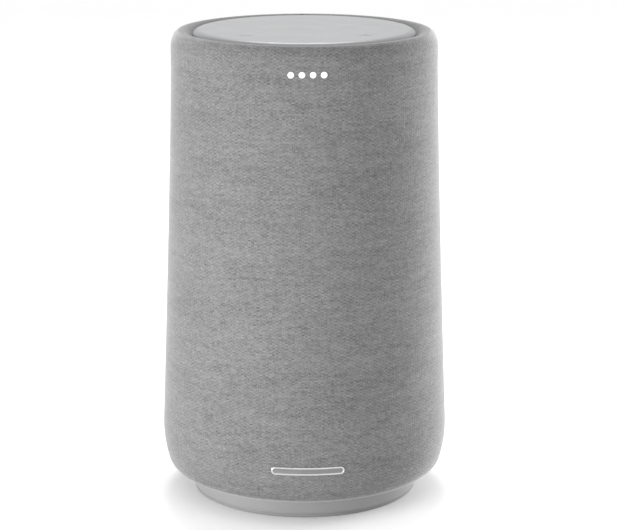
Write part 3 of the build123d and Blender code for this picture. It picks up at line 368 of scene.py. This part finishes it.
CLOTH = woven_cloth("woven_cloth", (0.087, 0.0865, 0.0873), (0.238, 0.2365, 0.2385))
PLATE = moulded("plate_plastic", (0.245, 0.247, 0.254), 0.42, grain=5200, depth=0.008, spread=0.02,
                Specular_IOR_Level=0.15, Coat_Weight=0.3, Coat_Roughness=0.2)
BASE = moulded("base_plastic", (0.27, 0.27, 0.274), 0.45, grain=5200, depth=0.008, spread=0.02)
FOOT = moulded("foot_rubber", (0.23, 0.23, 0.235), 0.75, grain=3000, depth=0.03)
BLACK = moulded("black_plastic", (0.03, 0.03, 0.032), 0.5)
COVER = moulded("cover_plastic", (0.27, 0.27, 0.28), 0.55, grain=1800, depth=0.03)
BEZEL = moulded("bezel_plastic", (0.16, 0.16, 0.165), 0.5, grain=4200)
BUTTON = moulded("button_plastic", (0.24, 0.24, 0.25), 0.45, grain=4200)
BADGE = metal("badge_metal", (0.66, 0.66, 0.67), 0.2, stretch=(0.05, 1, 1), depth=0.004)
BADGE_FIELD = metal("badge_field_metal", (0.25, 0.25, 0.252), 0.4, stretch=(0.05, 1, 1), depth=0.01)
STEEL = metal("zinc_steel", (0.55, 0.55, 0.56), 0.32)


def light_diffuser():
    """Frosted diffuser with a faint, even glow."""
    material, tree, shader = new_material("light_diffuser", (0.86, 0.87, 0.88), 0.35,
                                          Emission_Color=(1.0, 0.99, 0.97, 1), Emission_Strength=0.35)
    place = add(tree, "ShaderNodeTexCoord").outputs["Object"]
    frost = noise(tree, place, 900, 3)
    tree.links.new(ramp(tree, frost, (0.3, (0.82, 0.83, 0.84)), (0.7, (0.90, 0.90, 0.91))),
                   shader.inputs["Base Color"])
    bump(tree, shader, frost, 0.2, 0.01 * MM)
    return material


LIGHT = light_diffuser()


def circuit_board(name):
    """Solder mask over copper tracks, with the tracks showing as paler green lines."""
    material, tree, shader = new_material(name, (0.03, 0.14, 0.06), 0.3, Coat_Weight=0.4)
    place = add(tree, "ShaderNodeTexCoord").outputs["Object"]
    pattern = {"Vector": place, "Scale": 260.0, "Mortar Size": 0.08, "Color1": (0.02, 0.11, 0.045, 1),
               "Color2": (0.03, 0.14, 0.06, 1), "Mortar": (0.07, 0.26, 0.11, 1)}
    tracks = add(tree, "ShaderNodeTexBrick", pattern)
    tree.links.new(tracks.outputs["Color"], shader.inputs["Base Color"])
    bump(tree, shader, tracks.outputs["Fac"], 0.4, 0.03 * MM)
    return material


SLOT_MATERIALS = {
    "grille_plastic": BLACK, "box_plastic": moulded("box_plastic", (0.045, 0.045, 0.048), 0.55, grain=1500),
    "foam": moulded("gasket_foam", (0.05, 0.05, 0.05), 0.95, grain=1100, depth=0.15),
    "screw_steel": STEEL, "magnet_steel": metal("magnet_steel", (0.6, 0.6, 0.62), 0.28),
    "basket_steel": moulded("powder_coat", (0.045, 0.045, 0.047), 0.4, grain=1400, depth=0.05),
    "ferrite": moulded("ground_ferrite", (0.07, 0.07, 0.075), 0.6, grain=900, depth=0.05),
    "neodymium": metal("nickel_plate", (0.72, 0.72, 0.74), 0.15),
    "surround_rubber": moulded("butyl_rubber", (0.025, 0.025, 0.026), 0.7, grain=1600),
    "cone_paper": moulded("pulp_paper", (0.07, 0.07, 0.072), 0.85, grain=700, depth=0.12, spread=0.2),
    "spider_cloth": moulded("dipped_cotton", (0.5, 0.34, 0.15), 0.8, grain=1300, depth=0.15, spread=0.15),
    "coil_copper": metal("enamelled_copper", (0.72, 0.34, 0.18), 0.25, stretch=(0.1, 8, 0.1)),
    "dome_silk": moulded("coated_silk", (0.05, 0.05, 0.055), 0.6, grain=2600, depth=0.05),
    "circuit": circuit_board("solder_mask"), "chip": moulded("moulded_epoxy", (0.03, 0.03, 0.03), 0.45),
    "shield_tin": metal("tin_plate", (0.7, 0.7, 0.7), 0.3),
    "aluminium_black": metal("black_anodised", (0.13, 0.13, 0.135), 0.4, stretch=(1, 0.05, 1)),
    "capacitor_sleeve": moulded("shrink_sleeve", (0.03, 0.04, 0.12), 0.25, grain=400, spread=0.15),
    "transformer_tape": moulded("polyester_tape", (0.62, 0.47, 0.10), 0.35, grain=300, spread=0.12),
    "ribbon": moulded("polyimide", (0.55, 0.33, 0.09), 0.3, grain=500, spread=0.15),
    "lead_insulation": moulded("pvc_insulation", (0.35, 0.03, 0.03), 0.4, grain=700, spread=0.12),
    "inlet_plastic": moulded("inlet_plastic", (0.028, 0.028, 0.03), 0.45),
    "pin_metal": metal("pin_metal", (0.75, 0.72, 0.62), 0.2),
    "cloth": CLOTH, "plate_plastic": PLATE, "light_diffuser": LIGHT, "badge_metal": BADGE,
    "base_plastic": BASE, "foot_rubber": FOOT, "cover_plastic": COVER, "bezel_plastic": BEZEL,
    "button_plastic": BUTTON,
}
for part in frame["record"]["subparts"]:
    node = frame["nodes"][part["node"]]
    node.data.materials.clear()
    node.data.materials.append(SLOT_MATERIALS[part["material_slot"]])
    node.data.shade_smooth()
    node.data.set_sharp_from_angle(angle=radians(30))


# ------------------------------------------------------------------ cloth sleeve

def skin_outline(inset, steps):
    """(r, z) points of the body's outline from hem to lip, moved inwards by inset."""
    points = [(HEM_R, HEM_Z + inset)]
    heel = arc((HEEL_X, HEM_Z + HEEL_R), HEEL_R - inset, -90, HEEL_TURN, 12)
    points += heel
    # the belly's arc leaves the heel, is widest at BELLY_Z, and leans in with the taper above it
    width = BELLY_R - inset - heel[-1][0]
    height = BELLY_Z - heel[-1][1]
    side_r = (width ** 2 + height ** 2) / (2 * width)
    start = -degrees(asin(height / side_r))
    lean = degrees(TAPER_POWER * (BELLY_R - NECK_R) / (NECK_Z - TAPER_START_Z))
    points += arc((BELLY_R - inset - side_r, BELLY_Z), side_r, start, lean - start, 14)[1:]
    top_r, top_z = points[-1]
    neck = NECK_R - inset
    for i in range(1, steps + 1):
        rest = 1 - i / steps
        points.append((neck + (top_r - neck) * rest ** TAPER_POWER, NECK_Z - (NECK_Z - top_z) * rest))
    points += [(neck, NECK_Z + (SHOULDER_Z - NECK_Z) * i / 3) for i in (1, 2)]
    # the shoulder, the rim up to its crest, and the roll down into the lip
    centre = (NECK_R - SHOULDER_R, SHOULDER_Z)
    points += arc(centre, SHOULDER_R - inset, 0, SHOULDER_TURN, 12)
    reach = SHOULDER_R - RIM_R
    turn = radians(SHOULDER_TURN)
    centre = (centre[0] + reach * cos(turn), centre[1] + reach * sin(turn))
    points += arc(centre, RIM_R - inset, SHOULDER_TURN, 90 - SHOULDER_TURN, 10)[1:]
    centre = (centre[0], centre[1] + RIM_R - ROLL_R)
    points += arc(centre, ROLL_R - inset, 90, 90, 14)[1:]
    lip = points[-1]
    return points + [(lip[0], lip[1] + (LIP_Z - lip[1]) * i / 2) for i in (1, 2)]


CUT_START, CUT_DEPTH = 60 * MM, 25 * MM     # cutters begin inside the cloth and end outside it
WINDOW_CORNER = 8 * MM


def sleeve():
    """The cloth tube: outside, rolled rim and hem, and inside, with its UV in metres of cloth."""
    outer = skin_outline(0, 48)
    loop = outer + skin_outline(CLOTH_T, 16)[::-1]
    tall = 0
    lengths = [tall]
    for (r0, z0), (r1, z1) in zip(loop, loop[1:]):
        tall += hypot(r1 - r0, z1 - z0)
        lengths.append(tall)
    mesh = bmesh.new()
    cloth = mesh.loops.layers.uv.new("cloth")
    angles = [2 * pi * i / SEGMENTS for i in range(SEGMENTS)]
    rings = [[mesh.verts.new((-r * sin(a), r * cos(a), z)) for a in angles] for r, z in loop]
    for k in range(len(loop)):
        low, high = rings[k], rings[(k + 1) % len(loop)]
        ends = (lengths[k], lengths[k + 1] if k + 1 < len(loop) else lengths[k])
        for i in range(SEGMENTS):
            j = (i + 1) % SEGMENTS
            face = mesh.faces.new((low[i], low[j], high[j], high[i]))
            for corner, (u, v) in zip(face.loops, ((i, 0), (i + 1, 0), (i + 1, 1), (i, 1))):
                corner[cloth].uv = (u * CLOTH_ROUND / SEGMENTS, ends[v])
    bmesh.ops.recalc_face_normals(mesh, faces=mesh.faces)
    piece = link("cloth_sleeve", mesh, body=None, material=CLOTH, sharp=50)
    holes = []
    for x in LIGHT_X:
        place = facing_front(x, LIGHT_Z, -CUT_START)
        holes.append(prism(circle(LIGHT_R + HOLE_GAP, 32), place, CUT_DEPTH))
    window = rounded(2 * (BEZEL_HIGH.x + HOLE_GAP), BEZEL_HIGH.z - BEZEL_LOW.z + 2 * HOLE_GAP, WINDOW_CORNER)
    holes.append(prism(window, facing_rear(0, BEZEL_Z, CUT_START), CUT_DEPTH))
    cut(piece, holes, 50)
    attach(piece, "root")
    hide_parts("fabric_sleeve")


sleeve()

# ------------------------------------------------------------------ touch plate

PLATE_FLAT_R, PLATE_EDGE_Z = 56.3 * MM, 257 * MM
EDGE_PULL_R, EDGE_PUSH_IN, EDGE_PUSH_DOWN = 59 * MM, 0.2 * MM, 1.4 * MM     # how full the rounded edge is
PLATE_T, SKIRT_T, SKIRT_Z = 2.2 * MM, 1.8 * MM, 251.5 * MM
MIC_X, MIC_HOLE_R, MIC_SINK_R, MIC_SINK_DEPTH = 31 * MM, 0.6 * MM, 1.1 * MM, 0.6 * MM
MARK_Y, MARK_DEPTH = -4 * MM, 0.2 * MM
DOT_COUNT, DOT_PITCH, DOT_R = 4, 2.2 * MM, 0.55 * MM
STROKE_X, STROKE_Y, STROKE_L, STROKE_W = 32 * MM, -30 * MM, 7 * MM, 0.8 * MM


def bezier(start, pull, push, end, steps):
    """Points of a cubic curve, both ends included."""
    pulls = (start, pull, push, end)
    points = []
    for i in range(steps + 1):
        t = i / steps
        weights = ((1 - t) ** 3, 3 * t * (1 - t) ** 2, 3 * t * t * (1 - t), t ** 3)
        points.append(tuple(sum(w * p[axis] for w, p in zip(weights, pulls)) for axis in (0, 1)))
    return points


def touch_plate():
    """The plate's pillowed cap and skirt, with drilled microphone holes and engraved marks."""
    top = [(PLATE_FLAT_R * i / 12, PLATE_Z) for i in range(12)]
    edge = bezier((PLATE_FLAT_R, PLATE_Z), (EDGE_PULL_R, PLATE_Z),
                  (PLATE_R - EDGE_PUSH_IN, PLATE_Z - EDGE_PUSH_DOWN), (PLATE_R, PLATE_EDGE_Z), 20)
    inner, under, round_off = PLATE_R - SKIRT_T, PLATE_Z - PLATE_T, 0.3 * MM
    skirt = [(PLATE_R, SKIRT_Z + round_off), (PLATE_R - round_off, SKIRT_Z), (inner, SKIRT_Z), (inner, under),
             (0, under)]
    cap = turned(top + edge + skirt, SEGMENTS, closed=False)
    piece = link("touch_plate", cap, body=None, material=PLATE)
    mark = Matrix.Translation((0, 0, PLATE_Z - MARK_DEPTH))
    drill = Matrix.Translation((0, 0, under - MM))
    cutters = [prism(circle(DOT_R, 20, (i - (DOT_COUNT - 1) / 2) * DOT_PITCH, MARK_Y), mark, MM)
               for i in range(DOT_COUNT)]
    for x in (-MIC_X, MIC_X):
        cutters.append(prism(circle(MIC_HOLE_R, 24, x, MARK_Y), drill, 4 * MM))
        sink = turned([(0, -MIC_SINK_DEPTH), (MIC_SINK_R, 0), (MIC_SINK_R, MM), (0, MM)], 24,
                      Matrix.Translation((x, MARK_Y, PLATE_Z)), closed=False)
        cutters.append(link("cutter", sink, body=None))
    flat = stadium(STROKE_L, STROKE_W, 8)
    minus = [(x - STROKE_X, y + STROKE_Y) for x, y in flat]
    plus = [(x + STROKE_X, y + STROKE_Y) for x, y in flat]
    upright = [(STROKE_X - y, x + STROKE_Y) for x, y in flat]
    cutters += [prism(outline, mark, MM) for outline in (minus, plus, upright)]
    cut(piece, cutters)
    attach(piece, "root")
    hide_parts("top_plate")


touch_plate()

# ------------------------------------------------------------------ status lights

TIP_L = 5 * MM
DOME = [(0, 0.25 * MM), (LIGHT_R * 0.5, 0.2 * MM), (LIGHT_R * 0.85, 0.05 * MM), (LIGHT_R, -0.2 * MM)]

for number, x in enumerate(LIGHT_X, 1):
    face = sqrt(NECK_R ** 2 - x ** 2)
    tip = DOME + [(LIGHT_R, -TIP_L), (0, -TIP_L)]
    mesh = turned(tip, 40, facing_front(x, LIGHT_Z, -face), closed=False)
    link(f"light_tip_{number}", mesh, material=LIGHT, sharp=40)

# ------------------------------------------------------------------ badge

# millimetres inwards from the badge's edge, and outwards from its frontmost radius
BADGE_STEPS = [(0.0, -0.8), (0.0, -0.3), (0.12, -0.1), (0.35, 0.0), (0.62, 0.0), (0.72, -0.06), (0.80, -0.16),
               (0.9, -0.18)]


def badge():
    """Polished stadium plate that follows the cloth, with a raised border and a sunk middle."""
    width, height = BADGE_HIGH.x - BADGE_LOW.x, BADGE_HIGH.z - BADGE_LOW.z
    outer_r = -BADGE_LOW.y
    mesh = bmesh.new()
    rings = []
    for inset, level in BADGE_STEPS:
        ring = []
        for x, z in stadium(width - 2 * inset * MM, height - 2 * inset * MM, 24, 40):
            r = outer_r + level * MM
            ring.append(mesh.verts.new((x, -sqrt(r * r - x * x), BADGE_Z + z)))
        rings.append(ring)
    count = len(rings[0])
    for low, high in zip(rings, rings[1:]):
        for i in range(count):
            j = (i + 1) % count
            mesh.faces.new((low[i], low[j], high[j], high[i]))
    # the back and the sunk middle are strips between the lower and the upper half of a ring
    for ring, finish in ((rings[0], 0), (rings[-1], 1)):
        lower = sorted((v for v in ring if v.co.z < BADGE_Z + 1e-7), key=lambda v: v.co.x)
        upper = sorted((v for v in ring if v.co.z > BADGE_Z - 1e-7), key=lambda v: v.co.x)
        for i in range(len(lower) - 1):
            corners = tuple(dict.fromkeys((lower[i], lower[i + 1], upper[i + 1], upper[i])))
            mesh.faces.new(corners).material_index = finish
    bmesh.ops.recalc_face_normals(mesh, faces=mesh.faces)
    piece = link("badge_plate", mesh, replaces=("badge",), material=BADGE, sharp=60)
    piece.data.materials.append(BADGE_FIELD)


badge()

# ------------------------------------------------------------------ plinth ring and foot

CHANNEL_W, CHANNEL_REACH = 11 * MM, 40 * MM     # the notch's width, and the cutter's start, length and height


def notched(name, outline, replaces, material):
    """Turned ring with the cord channel's notch at the rear."""
    piece = link(name, turned(outline, 256), body=None, material=material, sharp=30)
    notch = rounded(CHANNEL_W, CHANNEL_REACH, MM, 4)
    cut(piece, [prism(notch, facing_rear(0, 0, CHANNEL_REACH), CHANNEL_REACH)])
    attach(piece, "root")
    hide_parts(replaces)


RING_R, RING_FOOT_R, RING_WALL = RING_HIGH.x, 63.5 * MM, 2.6 * MM
RING_EDGE, RING_FLARE = 0.7 * MM, 0.8     # rounding at the bottom, and the power of the flare above it
low, high = RING_LOW.z, RING_HIGH.z
inner = RING_FOOT_R - RING_WALL
flare_z = low + RING_EDGE
ring_outline = [(inner, low), (RING_FOOT_R - RING_EDGE, low)]
ring_outline += arc((RING_FOOT_R - RING_EDGE, flare_z), RING_EDGE, -90, 80, 6)[1:]
ring_outline += [(RING_FOOT_R + (RING_R - RING_FOOT_R) * t ** RING_FLARE, flare_z + (high - flare_z) * t)
                 for t in [i / 10 for i in range(1, 11)]]
ring_outline += [(inner, high)]
notched("plinth_ring", ring_outline, "base_ring", BASE)

FOOT_R, FOOT_INNER_R, FOOT_CHAMFER = FOOT_HIGH.x, 51 * MM, 0.5 * MM
GROOVE_COUNT, GROOVE_START, GROOVE_PITCH = 4, 2.6 * MM, 2.3 * MM
GROOVE_W, GROOVE_SLOPE, GROOVE_DEPTH = 1.0 * MM, 0.3 * MM, 0.4 * MM
foot_outline = [(FOOT_INNER_R, FOOT_HIGH.z), (FOOT_INNER_R, FOOT_CHAMFER), (FOOT_INNER_R + FOOT_CHAMFER, 0)]
for i in range(GROOVE_COUNT):
    groove = FOOT_INNER_R + GROOVE_START + GROOVE_PITCH * i
    foot_outline += [(groove, 0), (groove + GROOVE_SLOPE, GROOVE_DEPTH),
                     (groove + GROOVE_W - GROOVE_SLOPE, GROOVE_DEPTH), (groove + GROOVE_W, 0)]
# the outer edge, rounded in three steps
foot_outline += [(FOOT_R - 0.6 * MM, 0), (FOOT_R - 0.15 * MM, 0.25 * MM), (FOOT_R, 0.8 * MM),
                 (FOOT_R, FOOT_HIGH.z)]
notched("foot_ring", foot_outline, "rubber_foot", FOOT)

# ------------------------------------------------------------------ studio

FLOOR_SIZE = 12.0
floor_mesh = bmesh.new()
bmesh.ops.create_grid(floor_mesh, x_segments=8, y_segments=8, size=FLOOR_SIZE / 2)
floor_material, _, _ = new_material("studio_floor", (0.95, 0.95, 0.95), 0.6, Specular_IOR_Level=0.2)
floor = link("studio_floor", floor_mesh, body=None, material=floor_material)

CAMERA_DISTANCE, CAMERA_HEIGHT = 1.1878, 0.4155              # metres
CAMERA_PITCH, CAMERA_SIDE, CAMERA_AIM = 13.66, 1.3, 0.11     # degrees
CAMERA_LENS, CAMERA_SENSOR = 127.2, 36                       # millimetres
camera_data = bpy.data.cameras.new("camera")
camera_data.sensor_width = CAMERA_SENSOR
camera_data.lens = CAMERA_LENS
camera = bpy.data.objects.new("camera", camera_data)
bpy.context.scene.collection.objects.link(camera)
side = radians(CAMERA_SIDE)
camera.location = (-CAMERA_DISTANCE * sin(side), -CAMERA_DISTANCE * cos(side), CAMERA_HEIGHT)
camera.rotation_euler = (radians(90 - CAMERA_PITCH), 0, -side - radians(CAMERA_AIM))
bpy.context.scene.camera = camera


def area_light(name, place, target, width, height, power):
    """Softbox at that place, turned to the target; sizes in metres, power in watts."""
    data = bpy.data.lights.new(name, "AREA")
    data.shape = "RECTANGLE"
    data.size, data.size_y, data.energy = width, height, power
    lamp = bpy.data.objects.new(name, data)
    bpy.context.scene.collection.objects.link(lamp)
    lamp.location = place
    lamp.rotation_euler = (Vector(target) - Vector(place)).to_track_quat("-Z", "Y").to_euler()


def around(azimuth, distance, height):
    """Place at that angle in degrees from the front, positive towards +X."""
    return (distance * sin(radians(azimuth)), -distance * cos(radians(azimuth)), height)


middle = (0, 0, 0.08)
area_light("left_softbox", around(-54, 0.65, 0.08), middle, 0.4, 0.3, 4.2)
area_light("right_softbox", around(120, 0.65, 0.08), middle, 0.3, 0.3, 5.4)
area_light("back_softbox", around(180, 0.75, 1.15), (0, 0, 0.26), 0.5, 0.5, 7)

world = bpy.data.worlds.new("studio")
world.use_nodes = True
bpy.context.scene.world = world
backdrop = world.node_tree.nodes["Background"]
backdrop.inputs["Color"].default_value = (1, 1, 1, 1)
backdrop.inputs["Strength"].default_value = 1.05
bpy.context.scene.view_settings.view_transform = "Standard"
